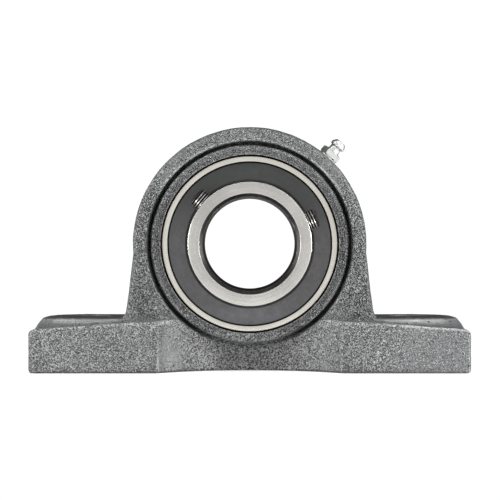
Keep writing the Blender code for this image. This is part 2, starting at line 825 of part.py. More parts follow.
def main():
    clear_scene()
    steel = bearing_steel()
    rolled = ball_steel()
    pressed = cage_steel()
    coating = dark_coating()
    rubber = seal_rubber()
    blackened = screw_steel()
    zinc = zinc_plate()

    build_housing(housing_paint())
    centre = new_empty("bearing_centre", (0.0, 0.0, AXIS_HEIGHT * MM))
    build_outer_ring(steel, centre)
    build_inner_ring(steel, centre)
    build_balls(rolled, centre)
    for tag, side in (("front", -1), ("rear", 1)):
        build_cage_half("cage_" + tag, side, pressed, centre)
        build_seal("seal_" + tag, side, rubber, centre)
        build_slinger("slinger_" + tag, side, coating, centre)
    build_rivets(pressed, centre)
    for index, angle in enumerate(SCREW_ANGLES, 1):
        build_set_screw(index, angle, blackened, centre)

    nipple_axis = new_empty("nipple_axis", (0.0, 0.0, 0.0), centre)
    nipple_axis.rotation_euler = (0.0, math.radians(90.0 - NIPPLE_ANGLE), 0.0)
    build_nipple_body(zinc, nipple_axis)
    build_nipple_ball(rolled, nipple_axis)
    build_nipple_spring(pressed, nipple_axis)


main()
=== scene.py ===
"""Looks for the pillow block bearing unit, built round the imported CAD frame.

Lengths inside the shape code are millimetres; meshes are written in metres in the row frame:
X along the base, Y along the shaft with the set screws at -Y, Z up, origin on the base plane.
"""

import math

import bmesh
import bpy
import numpy as np
from mathutils import Matrix, Vector, noise


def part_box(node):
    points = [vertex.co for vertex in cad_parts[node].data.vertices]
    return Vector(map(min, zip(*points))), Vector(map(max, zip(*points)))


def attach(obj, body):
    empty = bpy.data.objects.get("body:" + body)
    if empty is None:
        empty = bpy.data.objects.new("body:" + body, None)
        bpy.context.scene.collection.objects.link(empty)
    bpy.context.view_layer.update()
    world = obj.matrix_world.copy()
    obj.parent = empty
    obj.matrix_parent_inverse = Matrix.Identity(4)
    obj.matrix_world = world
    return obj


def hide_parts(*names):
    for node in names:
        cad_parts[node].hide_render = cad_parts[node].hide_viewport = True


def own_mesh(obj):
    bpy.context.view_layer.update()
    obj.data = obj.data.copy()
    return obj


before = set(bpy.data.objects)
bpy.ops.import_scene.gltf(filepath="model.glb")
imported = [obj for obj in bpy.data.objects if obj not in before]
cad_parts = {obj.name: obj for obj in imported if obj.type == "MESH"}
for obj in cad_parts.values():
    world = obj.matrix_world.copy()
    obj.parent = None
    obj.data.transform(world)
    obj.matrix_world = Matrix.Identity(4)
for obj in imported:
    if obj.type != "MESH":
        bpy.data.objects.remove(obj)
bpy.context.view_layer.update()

MM = 0.001
RING_LO, RING_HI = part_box("inner_ring")
AXIS_Z = (RING_LO[2] + RING_HI[2]) / 2.0 / MM
FRONT_Y = RING_LO[1] / MM
REAR_Y = RING_HI[1] / MM
HOUSE_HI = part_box("housing")[1]
HALF_LENGTH = HOUSE_HI[0] / MM
HALF_WIDTH = HOUSE_HI[1] / MM
ARCH_TRIM = 0.35  # the arch is this much smaller in radius than the CAD's
ARCH_RADIUS = HOUSE_HI[2] / MM - AXIS_Z - ARCH_TRIM
CENTRE = Vector((0.0, 0.0, AXIS_Z))
BORE_RADIUS = 17.5
SHOULDER_RADIUS = 23.05
SCREW_ANGLES = (21.5, 138.0)
SCREW_Y = -20.0
SCREW_COLUMNS = 48


# ---------------------------------------------------------------- mesh helpers


def link(name, mesh):
    ob = bpy.data.objects.new(name, mesh)
    bpy.context.scene.collection.objects.link(ob)
    return ob


def to_object(name, bm, matrix=None):
    """A bmesh in millimetres becomes an object whose vertices are in metres in the row frame."""
    if matrix is not None:
        bmesh.ops.transform(bm, matrix=matrix, verts=bm.verts)
    bmesh.ops.recalc_face_normals(bm, faces=bm.faces)
    bmesh.ops.scale(bm, vec=(MM, MM, MM), verts=bm.verts)
    mesh = bpy.data.meshes.new(name)
    bm.to_mesh(mesh)
    bm.free()
    return link(name, mesh)


def smooth(ob, angle):
    ob.data.shade_smooth()
    ob.data.set_sharp_from_angle(angle=math.radians(angle))


def apply_modifiers(ob):
    """Replace the mesh by its evaluated one and drop the modifiers."""
    graph = bpy.context.evaluated_depsgraph_get()
    graph.update()
    mesh = bpy.data.meshes.new_from_object(ob.evaluated_get(graph), depsgraph=graph)
    ob.modifiers.clear()
    ob.data = mesh


def boolean(ob, bm, operation, solver="EXACT", matrix=None):
    cutter = to_object("cutter", bm, matrix)
    mod = ob.modifiers.new("bool", "BOOLEAN")
    mod.operation = operation
    mod.object = cutter
    mod.solver = solver
    apply_modifiers(ob)
    bpy.data.objects.remove(cutter, do_unlink=True)


def bridge(bm, first, second):
    count = len(first)
    for i in range(count):
        j = (i + 1) % count
        bm.faces.new((first[i], first[j], second[j], second[i]))


def lathe_ring(profile, segments):
    """Closed (radius, y) profile turned round the Y axis through the bearing centre."""
    bm = bmesh.new()
    columns = []
    for k in range(segments):
        a = 2.0 * math.pi * k / segments
        columns.append(
            [bm.verts.new((r * math.cos(a), y, AXIS_Z + r * math.sin(a))) for r, y in profile]
        )
    for k in range(segments):
        bridge(bm, columns[k], columns[(k + 1) % segments])
    return bm


def lathe_solid(profile, segments):
    """Open (radius, z) profile turned round the Z axis, with its ends on the axis."""
    bm = bmesh.new()
    start = bm.verts.new((0.0, 0.0, profile[0][1]))
    finish = bm.verts.new((0.0, 0.0, profile[-1][1]))
    rings = []
    for r, z in profile[1:-1]:
        turn = [2.0 * math.pi * k / segments for k in range(segments)]
        rings.append([bm.verts.new((r * math.cos(a), r * math.sin(a), z)) for a in turn])
    for first, second in zip(rings, rings[1:]):
        bridge(bm, first, second)
    for k in range(segments):
        j = (k + 1) % segments
        bm.faces.new((start, rings[0][j], rings[0][k]))
        bm.faces.new((finish, rings[-1][k], rings[-1][j]))
    return bm


def turned_about_shaft(profile):
    """Open (radius, y) profile turned round the Y axis through the bearing centre."""
    bm = lathe_solid(profile, 180)
    turn = Matrix.Translation(CENTRE) @ Matrix.Rotation(math.radians(-90.0), 4, "X")
    bmesh.ops.transform(bm, matrix=turn, verts=bm.verts)
    return bm


def loft(rings_of_points, loop=False):
    bm = bmesh.new()
    rings = [[bm.verts.new(p) for p in ring] for ring in rings_of_points]
    for first, second in zip(rings, rings[1:]):
        bridge(bm, first, second)
    if loop:
        bridge(bm, rings[-1], rings[0])
    else:
        bm.faces.new(rings[0])
        bm.faces.new(list(reversed(rings[-1])))
    return bm


def prism(outline, low, high, plane):
    """Closed outline pushed along Z ("xy") or along Y ("xz")."""
    if plane == "xy":
        return loft([[(a, b, low) for a, b in outline], [(a, b, high) for a, b in outline]])
    return loft([[(a, low, b) for a, b in outline], [(a, high, b) for a, b in outline]])


def arc(centre, radius, start, finish, steps):
    points = []
    for k in range(steps + 1):
        a = math.radians(start + (finish - start) * k / steps)
        points.append((centre[0] + radius * math.cos(a), centre[1] + radius * math.sin(a)))
    return points


def rounded(points, steps=4):
    """Closed profile whose corners, given as (a, b, radius), are replaced by small arcs."""
    out = []
    count = len(points)
    for i, (a, b, radius) in enumerate(points):
        here = Vector((a, b))
        if radius <= 0.0:
            out.append((a, b))
            continue
        before = Vector(points[i - 1][:2]) - here
        after = Vector(points[(i + 1) % count][:2]) - here
        opening = before.angle(after) / 2.0
        reach = min(radius / math.tan(opening), before.length * 0.49, after.length * 0.49)
        start = here + before.normalized() * reach
        finish = here + after.normalized() * reach
        for k in range(steps + 1):
            t = k / steps
            point = start * (1 - t) ** 2 + here * 2 * t * (1 - t) + finish * t**2
            out.append((point.x, point.y))
    return out


def sphere(radius, steps, segments):
    profile = arc((0.0, 0.0), radius, -90.0, 90.0, steps)
    profile[0] = (0.0, -radius)
    profile[-1] = (0.0, radius)
    return lathe_solid(profile, segments)


def at_middle(lo, hi):
    return Matrix.Translation((Vector(lo) + Vector(hi)) / 2.0 / MM)


def stadium(centre_x, half_straight, radius, steps):
    right = arc((centre_x + half_straight, 0.0), radius, -90.0, 90.0, steps)
    left = arc((centre_x - half_straight, 0.0), radius, 90.0, 270.0, steps)
    return right + left


def radial(angle, y=0.0):
    """Local +Z points away from the bearing axis at this angle above +X."""
    turn = Matrix.Rotation(math.radians(90.0 - angle), 4, "Y")
    return Matrix.Translation(CENTRE + Vector((0.0, y, 0.0))) @ turn


def hexagon_radius(half_flats, degrees):
    return half_flats / math.cos(math.radians((degrees + 30.0) % 60.0 - 30.0))


# ---------------------------------------------------------------- node helpers


class Nodes:
    """A thin hand for building shader node trees."""

    def __init__(self, name):
        self.mat = bpy.data.materials.new(name)
        self.mat.use_nodes = True
        self.tree = self.mat.node_tree
        self.shader = self.tree.nodes["Principled BSDF"]
        coords = self.tree.nodes.new("ShaderNodeTexCoord")
        self.place = coords.outputs["Object"]

    def new(self, kind, **values):
        node = self.tree.nodes.new(kind)
        for key, value in values.items():
            setattr(node, key, value)
        return node

    def feed(self, socket, value):
        if isinstance(value, bpy.types.NodeSocket):
            self.tree.links.new(value, socket)
        else:
            socket.default_value = value

    def math(self, operation, a, b=0.0):
        node = self.new("ShaderNodeMath", operation=operation)
        self.feed(node.inputs[0], a)
        self.feed(node.inputs[1], b)
        return node.outputs[0]

    def noise(self, scale, detail=2.0, rough=0.5, vector=None):
        node = self.new("ShaderNodeTexNoise")
        self.feed(node.inputs["Vector"], vector or self.place)
        node.inputs["Scale"].default_value = scale
        node.inputs["Detail"].default_value = detail
        node.inputs["Roughness"].default_value = rough
        return node.outputs["Fac"]

    def cells(self, scale, feature, vector):
        node = self.new("ShaderNodeTexVoronoi", feature=feature)
        self.feed(node.inputs["Vector"], vector)
        node.inputs["Scale"].default_value = scale
        return node.outputs["Distance"]

    def remap(self, value, low, high, to_low=0.0, to_high=1.0):
        node = self.new("ShaderNodeMapRange")
        self.feed(node.inputs["Value"], value)
        node.inputs["From Min"].default_value = low
        node.inputs["From Max"].default_value = high
        node.inputs["To Min"].default_value = to_low
        node.inputs["To Max"].default_value = to_high
        return node.outputs["Result"]

    def blend(self, factor, first, second):
        node = self.new("ShaderNodeMix", data_type="RGBA")
        self.feed(node.inputs["Factor"], factor)
        for socket, value in ((node.inputs[6], first), (node.inputs[7], second)):
            self.feed(socket, (*value, 1.0) if isinstance(value, tuple) else value)
        return node.outputs[2]

    def bump(self, height, strength, distance):
        node = self.new("ShaderNodeBump")
        self.feed(node.inputs["Height"], height)
        node.inputs["Strength"].default_value = strength
        node.inputs["Distance"].default_value = distance
        return node.outputs["Normal"]

    def turned_vector(self):
        """(distance from the bearing axis, y, 0): rings round the shaft for turned steel."""
        shift = self.new("ShaderNodeVectorMath", operation="SUBTRACT")
        self.feed(shift.inputs[0], self.place)
        shift.inputs[1].default_value = (0.0, 0.0, AXIS_Z * MM)
        split = self.new("ShaderNodeSeparateXYZ")
        self.feed(split.inputs[0], shift.outputs[0])
        across = self.math("MULTIPLY", split.outputs["X"], split.outputs["X"])
        up = self.math("MULTIPLY", split.outputs["Z"], split.outputs["Z"])
        radius = self.math("SQRT", self.math("ADD", across, up))
        join = self.new("ShaderNodeCombineXYZ")
        self.feed(join.inputs["X"], radius)
        self.feed(join.inputs["Y"], split.outputs["Y"])
        return join.outputs[0]

    def finish(self, colour, roughness, metallic, normal=None):
        names = (("Base Color", colour), ("Roughness", roughness), ("Metallic", metallic))
        for name, value in (*names, ("Normal", normal)):
            if value is not None:
                value = (*value, 1.0) if isinstance(value, tuple) else value
                self.feed(self.shader.inputs[name], value)
        return self.mat


# ---------------------------------------------------------------- materials


def cast_paint():
    """Grey paint over sand casting: leathery grains and pits, patches of smoother skin, with painted
    highlights and painted shade on edges, hollows and grain crests.
    """
    n = Nodes("cast_paint")
    wander = n.new("ShaderNodeTexNoise")
    n.feed(wander.inputs["Vector"], n.place)
    wander.inputs["Scale"].default_value = 520.0
    wander.inputs["Detail"].default_value = 0.0
    push = n.new("ShaderNodeVectorMath", operation="MULTIPLY_ADD")
    n.feed(push.inputs[0], wander.outputs["Color"])
    push.inputs[1].default_value = (0.0008, 0.0008, 0.0008)
    n.feed(push.inputs[2], n.place)
    bent = push.outputs[0]
    grains = n.cells(1800.0, "SMOOTH_F1", bent)
    leather = n.noise(2200.0, 0.0, 0.5, vector=bent)
    fine = n.noise(3000.0, 0.0, 0.5, vector=bent)
    patches = n.remap(n.noise(42.0, 2.0, 0.6), 0.36, 0.54, 0.45, 1.0)
    sanded = n.new("ShaderNodeAttribute", attribute_name="grain")
    patches = n.math("MULTIPLY", patches, sanded.outputs["Fac"])
    height = n.math("ADD", n.math("MULTIPLY", grains, -0.7), n.math("MULTIPLY", leather, 1.5))
    height = n.math("ADD", height, n.math("MULTIPLY", fine, 0.5))
    height = n.math("MULTIPLY", n.math("SUBTRACT", height, 0.72), patches)
    pits = n.remap(n.cells(420.0, "F1", bent), 0.0, 0.2, -0.5, 0.0)
    height = n.math("ADD", height, pits)
    normal = n.bump(height, 1.0, 0.0016)
    cloud = n.noise(60.0, 4.0, 0.6)
    shade = n.blend(n.remap(cloud, 0.3, 0.7), (0.165, 0.17, 0.172), (0.2, 0.205, 0.207))
    calm = n.remap(patches, 0.9, 0.3, 0.0, 0.75)
    shade = n.blend(calm, shade, (0.1, 0.104, 0.105))
    # This attribute holds painted light: above 0 a painted highlight, below 0 painted shade.
    light_marks = n.new("ShaderNodeAttribute", attribute_name="painted_light")
    painted_highlight = n.math("MULTIPLY", n.remap(light_marks.outputs["Fac"], 0.08, 1.0), 0.85)
    shade = n.blend(painted_highlight, shade, (0.5, 0.505, 0.5))
    # Painted shade in the hollows of the grain.
    hollow = n.math("MULTIPLY", n.remap(height, 0.0, -0.17), 0.85)
    shade = n.blend(hollow, shade, (0.02, 0.021, 0.022))
    # Painted highlight on the crests of the grain.
    crest = n.math("MULTIPLY", n.remap(height, 0.03, 0.17), 0.6)
    shade = n.blend(crest, shade, (0.44, 0.445, 0.44))
    # Painted shade where the attribute is below 0.
    painted_shade = n.math("MULTIPLY", n.remap(light_marks.outputs["Fac"], -0.08, -1.0), 0.95)
    shade = n.blend(painted_shade, shade, (0.012, 0.012, 0.012))
    rough = n.remap(n.noise(900.0, 2.0), 0.3, 0.7, 0.3, 0.44)
    return n.finish(shade, rough, 0.0, normal)


def bolt_face_paint():
    """The bolt faces are milled before painting: smooth and glossier than the cast skin; their darker tone
    is painted shade.
    """
    n = Nodes("bolt_face_paint")
    haze = n.noise(160.0, 4.0, 0.65)
    tone = n.blend(n.remap(haze, 0.35, 0.65), (0.03, 0.032, 0.033), (0.06, 0.063, 0.064))
    grain = n.noise(1400.0, 2.0, 0.6)
    return n.finish(tone, n.remap(haze, 0.3, 0.7, 0.16, 0.3), 0.0, n.bump(grain, 0.3, 0.00008))


# Near-black painted shade for places light does not reach: the housing's bolt slots, the inner ring's bore
# and the slinger's inner edge.
def painted_shade_black(name="painted_shade_black"):
    n = Nodes(name)
    haze = n.noise(500.0, 3.0, 0.6)
    tone = n.blend(n.remap(haze, 0.35, 0.65), (0.006, 0.006, 0.006), (0.016, 0.016, 0.016))
    return n.finish(tone, 0.7, 0.0, n.bump(haze, 0.4, 0.0003))


def machined_iron():
    n = Nodes("machined_iron")
    lines = n.noise(5200.0, 2.0, 0.5, vector=n.turned_vector())
    tone = n.blend(n.noise(90.0, 3.0), (0.2, 0.2, 0.2), (0.3, 0.295, 0.29))
    return n.finish(tone, 0.42, 1.0, n.bump(lines, 0.3, 0.0001))


def ground_steel(name, low, high, rough_low, rough_high):
    """Ring steel ground round the shaft axis, with fine concentric lines and faint haze."""
    n = Nodes(name)
    turned = n.turned_vector()
    lines = n.noise(6500.0, 3.0, 0.6, vector=turned)
    bands = n.noise(900.0, 2.0, 0.5, vector=turned)
    haze = n.noise(55.0, 4.0, 0.6)
    tone = n.blend(n.remap(haze, 0.3, 0.7), low, high)
    banded = n.remap(bands, 0.3, 0.7, rough_low, rough_high)
    rough = n.math("ADD", banded, n.remap(haze, 0.3, 0.7, -0.03, 0.03))
    return n.finish(tone, rough, 1.0, n.bump(lines, 0.22, 0.00006))


def dark_steel(name, low, high):
    """Steel made dark, with fine turning lines: painted shade on the inner ring's chamfer, a plain darker
    tone on the outer ring's chamfers and steps.
    """
    n = Nodes(name)
    haze = n.noise(300.0, 3.0, 0.6)
    tone = n.blend(n.remap(haze, 0.3, 0.7), low, high)
    lines = n.noise(5200.0, 2.0, 0.5, vector=n.turned_vector())
    return n.finish(tone, n.remap(haze, 0.3, 0.7, 0.38, 0.5), 1.0, n.bump(lines, 0.2, 0.00006))


def dark_coat():
    """Matt dark coating on pressed steel, faintly mottled; darker towards the top as painted shade."""
    n = Nodes("dark_coat")
    grain = n.noise(1900.0, 3.0, 0.65)
    mottle = n.noise(420.0, 3.0, 0.6)
    split = n.new("ShaderNodeSeparateXYZ")
    n.feed(split.inputs[0], n.place)
    drift = n.math("ADD", split.outputs["Z"], n.math("MULTIPLY", mottle, 0.02))
    # Painted shade: the upper half is darkened.
    top_shade = n.remap(drift, (AXIS_Z + 14.0) * MM, (AXIS_Z + 34.0) * MM)
    low = n.blend(n.remap(mottle, 0.32, 0.68), (0.072, 0.071, 0.075), (0.102, 0.1, 0.106))
    high = n.blend(n.remap(mottle, 0.32, 0.68), (0.026, 0.029, 0.027), (0.04, 0.044, 0.041))
    tone = n.blend(top_shade, low, high)
    tone = n.blend(n.remap(grain, 0.35, 0.7, 0.3, 0.0), tone, (0.02, 0.02, 0.02))
    rough = n.remap(mottle, 0.3, 0.7, 0.42, 0.55)
    return n.finish(tone, rough, 0.15, n.bump(grain, 0.35, 0.00012))


def hazed(name, scale, detail, tones, rough, metallic, relief):
    """Plain surface whose tone, gloss and fine relief all follow one faint noise."""
    n = Nodes(name)
    haze = n.noise(scale, detail, 0.6)
    tone = n.blend(haze, *tones)
    return n.finish(tone, n.remap(haze, 0.3, 0.7, *rough), metallic, n.bump(haze, *relief))


def rubber():
    tones = ((0.012, 0.012, 0.012), (0.028, 0.028, 0.029))
    return hazed("seal_rubber", 1400.0, 3.0, tones, (0.55, 0.75), 0.0, (0.4, 0.0001))


def polished_steel():
    tones = ((0.62, 0.62, 0.62), (0.74, 0.74, 0.735))
    return hazed("polished_steel", 700.0, 3.0, tones, (0.06, 0.14), 1.0, (0.05, 0.00005))


def pressed_steel():
    tones = ((0.36, 0.355, 0.34), (0.56, 0.55, 0.53))
    return hazed("pressed_steel", 260.0, 4.0, tones, (0.3, 0.48), 1.0, (0.2, 0.0002))


def thread_crest():
    """Set screw steel worn bright along the crests of the thread."""
    tones = ((0.4, 0.385, 0.37), (0.6, 0.58, 0.56))
    return hazed("thread_crest", 900.0, 3.0, tones, (0.26, 0.4), 1.0, (0.2, 0.0001))


def thread_root():
    """Black oxide left in the roots of the thread and in the socket."""
    tones = ((0.012, 0.011, 0.01), (0.03, 0.027, 0.025))
    return hazed("thread_root", 900.0, 3.0, tones, (0.4, 0.55), 0.6, (0.2, 0.0001))


def zinc():
    tones = ((0.5, 0.51, 0.5), (0.72, 0.73, 0.71))
    return hazed("zinc_plate", 650.0, 3.0, tones, (0.34, 0.46), 1.0, (0.12, 0.0001))


# ---------------------------------------------------------------- housing

FOOT_END_HEIGHT = 16.0
FOOT_INNER_X = 42.0
FOOT_INNER_HEIGHT = 18.6
MIDDLE_HALF_LENGTH = 34.5
MIDDLE_HEIGHT = 19.3
MIDDLE_WAIST = 8.2
BOSS_HEIGHT = 20.1
BOSS_RADIUS = 15.0
BOSS_INNER_X = 44.0
BOLT_X = 63.5
ARCH_HALF_WIDTH = 14.0
ARCH_DRAFT = 4.4
RECESS_RADIUS = 39.0
SEAT_RADIUS = 36.15
SEAT_HALF_WIDTH = 13.6
VALLEY_Y = 9.0
NIPPLE_ANGLE = 48.0
NIPPLE_SEAT = 44.0
SKIN = 0.3  # the casting starts this far under the base plane and is cut flat afterwards
SKIN_GROWTH = 0.2
PLAN_CORNER = 0.9
BOTTOM_CORNER = 2.2
TOP_CORNER = 2.4
# Painted shade level for the paint over the bolt bosses' tops.
PAD_SHADE = -0.4
SEAT_RIM = (
    (36.3, SEAT_HALF_WIDTH + 0.1),
    (36.7, SEAT_HALF_WIDTH - 0.4),
    (36.9, VALLEY_Y + 2.0),
    (37.2, VALLEY_Y),
)


def base_plan():
    outline = []
    x = HALF_LENGTH - PLAN_CORNER
    y = HALF_WIDTH - PLAN_CORNER
    for sx, sy, start in ((1, -1, -90.0), (1, 1, 0.0), (-1, 1, 90.0), (-1, -1, 180.0)):
        outline += arc((sx * x, sy * y), PLAN_CORNER, start, start + 90.0, 6)
    return outline


def base_elevation():
    """Half elevation of the base; it runs past the plan where the ends are left square."""
    end = HALF_LENGTH + 3.0
    low_centre = (HALF_LENGTH - BOTTOM_CORNER, BOTTOM_CORNER - SKIN)
    high_centre = (HALF_LENGTH - TOP_CORNER, FOOT_END_HEIGHT - TOP_CORNER)
    low = arc(low_centre, BOTTOM_CORNER, -90.0, -5.0, 6)
    high = arc(high_centre, TOP_CORNER, 5.0, 86.0, 6)
    right = low + [(end, 2.4), (end, FOOT_END_HEIGHT - 2.6)] + high
    right += [
        (FOOT_INNER_X, FOOT_INNER_HEIGHT),
        (MIDDLE_HALF_LENGTH, FOOT_INNER_HEIGHT + 0.2),
        (MIDDLE_HALF_LENGTH - 4.0, MIDDLE_HEIGHT),
    ]
    return right + [(-x, z) for x, z in reversed(right)]


def arch_section(radius, y):
    draft = math.radians(ARCH_DRAFT)
    side = radius / math.cos(draft)
    knee = 21.8

    def half_width(z):
        return side + ARCH_TRIM + (AXIS_Z - z) * math.tan(draft)

    right = [
        (half_width(knee) + 3.4, 5.0),
        (half_width(knee) + 2.9, 18.0),
        (half_width(knee) + 2.0, 18.8),
        (half_width(knee) + 1.2, 19.6),
        (half_width(knee) + 0.5, 20.8),
        (half_width(knee) + 0.1, 22.2),
        (half_width(knee + 2.0), knee + 2.0),
    ]
    over = arc((0.0, AXIS_Z), radius, -ARCH_DRAFT, 180.0 + ARCH_DRAFT, 96)
    left = [(-x, z) for x, z in reversed(right)]
    return [(x, y, z) for x, z in right + over + left]


def arch_body():
    stations = (
        (ARCH_HALF_WIDTH, 1.5),
        (ARCH_HALF_WIDTH - 0.7, 0.9),
        (11.0, 0.62),
        (7.0, 0.27),
        (3.0, 0.05),
        (0.0, 0.0),
    )
    full = [(y, drop) for y, drop in stations] + [(-y, drop) for y, drop in reversed(stations[:-1])]
    return loft([arch_section(ARCH_RADIUS - drop, y) for y, drop in full])


def arch_root():
    """Small fillet where the arch's two faces run out onto the base."""
    outline = [(-13.9, 20.9), (-14.25, 19.9), (-14.9, 19.15), (-15.9, 18.75), (-17.5, 18.45)]
    outline += [(-17.5, 12.0)]
    full = outline + [(-y, z) for y, z in reversed(outline)]
    half = ARCH_RADIUS + 2.0
    ends = ((-half - 1.6, 1.2), (-half, 0.0), (half, 0.0), (half + 1.6, 1.2))
    return loft([[(x, y, z - drop) for y, z in full] for x, drop in ends])


def boss(side):
    """Round-ended bolt boss: crowned top, shoulder, then a hollow flank down to the slab."""
    flank = (
        (-4.0, BOSS_HEIGHT),
        (-2.4, BOSS_HEIGHT - 0.15),
        (0.0, BOSS_HEIGHT - 0.75),
        (0.35, BOSS_HEIGHT - 1.0),
        (0.9, BOSS_HEIGHT - 1.75),
        (1.6, BOSS_HEIGHT - 2.45),
        (2.4, BOSS_HEIGHT - 3.0),
        (3.4, BOSS_HEIGHT - 3.5),
        (5.0, BOSS_HEIGHT - 4.1),
        (6.0, 10.0),
    )
    middle = (BOLT_X + BOSS_INNER_X) / 2.0
    half = (BOLT_X - BOSS_INNER_X) / 2.0
    rings = []
    for offset, z in reversed(flank):
        outline = stadium(middle, half, BOSS_RADIUS + offset, 20)
        rings.append([(side * min(x, HALF_LENGTH - 1.0), y, z) for x, y in outline])
    return loft(rings)


def waist_curve(count):
    sagitta = HALF_WIDTH - MIDDLE_WAIST
    radius = (MIDDLE_HALF_LENGTH**2 + sagitta**2) / (2.0 * sagitta)
    points = []
    for k in range(count + 1):
        x = 33.8 * (1.0 - k / count) + 0.5 * k / count
        points.append((x, MIDDLE_WAIST + radius - math.sqrt(radius**2 - x**2)))
    return points


def waist_cutter(side):
    right = [(MIDDLE_HALF_LENGTH + 6.0, HALF_WIDTH + 8.0), (MIDDLE_HALF_LENGTH + 0.8, HALF_WIDTH + 0.2)]
    right += waist_curve(16)
    outline = right + [(-x, y) for x, y in reversed(right)]
    return prism([(x, side * y) for x, y in outline], -3.0, 23.0, "xy")


def pocket_cutter():
    wall = 6.0
    limit = 46.0
    edge = HALF_WIDTH - wall
    right = [(limit, edge - 4.0), (limit - 1.2, edge - 1.2), (limit - 4.0, edge)]
    right += [(MIDDLE_HALF_LENGTH + 2.0, edge)]
    right += [(x, max(y - wall, 2.6)) for x, y in waist_curve(12) if x < 32.0]
    outline = right + [(-x, y) for x, y in reversed(right)]
    outline += [(-x, -y) for x, y in right]
    outline += [(x, -y) for x, y in reversed(right)]
    return prism(outline, -3.0, 6.2, "xy")


def seat_boss():
    """Disc left round the seat where the waist would cut into it; its side flares at the root."""
    half = [
        (0.0, SEAT_HALF_WIDTH + 0.1),
        *SEAT_RIM,
        (38.2, MIDDLE_WAIST - 0.3),
    ]
    return turned_about_shaft([(r, -y) for r, y in half] + list(reversed(half)))


def core_cutter():
    """The cored opening, its rim and the valley round it, before the seat is machined."""
    half = [
        (33.0, 0.0),
        (33.0, SEAT_HALF_WIDTH),
        *SEAT_RIM,
        (38.3, VALLEY_Y),
        (38.6, VALLEY_Y + 2.5),
        (RECESS_RADIUS - 0.3, ARCH_HALF_WIDTH),
        (RECESS_RADIUS, 32.0),
        (0.0, 32.0),
    ]
    profile = [(r, -y) for r, y in reversed(half)] + half[1:]
    return turned_about_shaft(profile)


def seat_cutter():
    edge = math.degrees(math.asin(SEAT_HALF_WIDTH / SEAT_RADIUS))
    half = arc((0.0, 0.0), SEAT_RADIUS, edge + 0.8, 2.38, 10)
    half += [(37.0, 1.5)]
    profile = [(0.0, -(SEAT_HALF_WIDTH + 6.0)), (33.45, -(SEAT_HALF_WIDTH + 6.0))]
    profile += [(r, -y) for r, y in half] + list(reversed(half))
    profile += [(33.45, SEAT_HALF_WIDTH + 6.0), (0.0, SEAT_HALF_WIDTH + 6.0)]
    return turned_about_shaft(profile)


def vertex_values(mesh, key):
    values = np.empty(len(mesh.vertices) * 3)
    mesh.vertices.foreach_get(key, values)
    return values.reshape(-1, 3)


def store(mesh, name, values):
    mesh.attributes.new(name, "FLOAT", "POINT").data.foreach_set("value", values)


def roughen(mesh):
    """Push the casting's skin in and out a little, as sand leaves it."""
    count = len(mesh.vertices)
    at = vertex_values(mesh, "co")
    out = vertex_values(mesh, "normal")
    depth = np.zeros(count)
    for i in range(count):
        point = Vector(at[i] / MM)
        wide = noise.noise(point * 0.11)
        middle = noise.noise(point * 0.42 + Vector((7.0, 3.0, 1.0)))
        small = noise.noise(point * 0.95 + Vector((1.0, 9.0, 4.0)))
        depth[i] = 0.10 * wide + 0.07 * middle + 0.05 * small
    flat = np.abs(out).max(axis=1) > 0.995
    level = at[:, 2] / MM
    machined = (level < 0.2) | (flat & (out[:, 2] > 0.9) & (level > BOSS_HEIGHT - 0.4))
    depth[machined] *= 0.25
    at += out * ((depth + SKIN_GROWTH) * MM)[:, None]
    low, high = (np.array(corner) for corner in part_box("housing"))
    at = np.clip(at, low - [0.0, 0.0, 1.0], high)
    mesh.vertices.foreach_set("co", at.ravel())
    mesh.update()


def ramp(value, *stops):
    """Piecewise straight curve through (value, result) stops."""
    return np.interp(value, [a for a, _ in stops], [b for _, b in stops])


def edge_sharpness(mesh):
    """How far each vertex stands proud of the surface round it, in millimetres."""
    count = len(mesh.vertices)
    at = vertex_values(mesh, "co") / MM
    out = vertex_values(mesh, "normal")
    pairs = np.empty(len(mesh.edges) * 2, dtype=np.int64)
    mesh.edges.foreach_get("vertices", pairs)
    first, second = pairs.reshape(-1, 2).T
    degree = np.maximum(np.bincount(first, minlength=count) + np.bincount(second, minlength=count), 1)
    soft = at.copy()
    for _ in range(4):
        mean = np.empty_like(soft)
        for axis in range(3):
            total = np.bincount(first, soft[second, axis], count)
            total += np.bincount(second, soft[first, axis], count)
            mean[:, axis] = total / degree
        soft = 0.5 * soft + 0.5 * mean
    return at, ((at - soft) * out).sum(axis=1)


